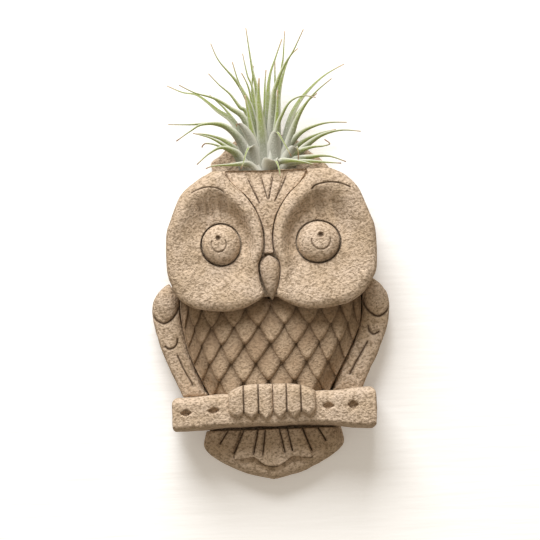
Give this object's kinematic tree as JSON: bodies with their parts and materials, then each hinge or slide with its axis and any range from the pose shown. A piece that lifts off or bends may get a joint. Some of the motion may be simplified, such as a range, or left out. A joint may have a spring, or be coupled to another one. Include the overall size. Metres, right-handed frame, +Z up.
{
  "type": "wall planter",
  "caption": "Wall-hung clay owl with a pocket in its head that holds an air plant, carved feather breast, slab wings, perch with gripping toes and a fan tail.",
  "frame": {"origin": "centre of the hanging hole, on the back face of the back slab", "axes": "+Z up along the owl, +Y through the hanging hole into the wall, so the owl looks along -Y"},
  "size_m": [0.1186, 0.039, 0.227],
  "materials": {
    "clay_pale": "matte",
    "clay_dark": "matte",
    "clay_slab": "matte",
    "leaf": "matte"
  },
  "bodies": {
    "owl": {"back_slab": "clay_slab", "head_shell": "clay_slab", "brow_panel": "clay_pale", "face_disc_left": "clay_pale", "face_disc_right": "clay_pale", "eye_left": "clay_pale", "eye_right": "clay_pale", "beak": "clay_pale", "breast_panel": "clay_dark", "feather_row_1": "clay_dark", "feather_row_2": "clay_dark", "feather_row_3": "clay_dark", "feather_row_4": "clay_dark", "feather_row_5": "clay_dark", "wing_left": "clay_pale", "wing_right": "clay_pale", "perch": "clay_pale", "foot_left": "clay_pale", "foot_right": "clay_pale", "tail_fan": "clay_dark", "tail_coverts": "clay_dark"},
    "plant": {"air_plant": "leaf"}
  },
  "joints": [
    {"name": "plant_lift", "type": "slide", "parent": "owl", "child": "plant", "axis": [0, 0, 1], "range_m": [0, 0.07]}
  ]
}
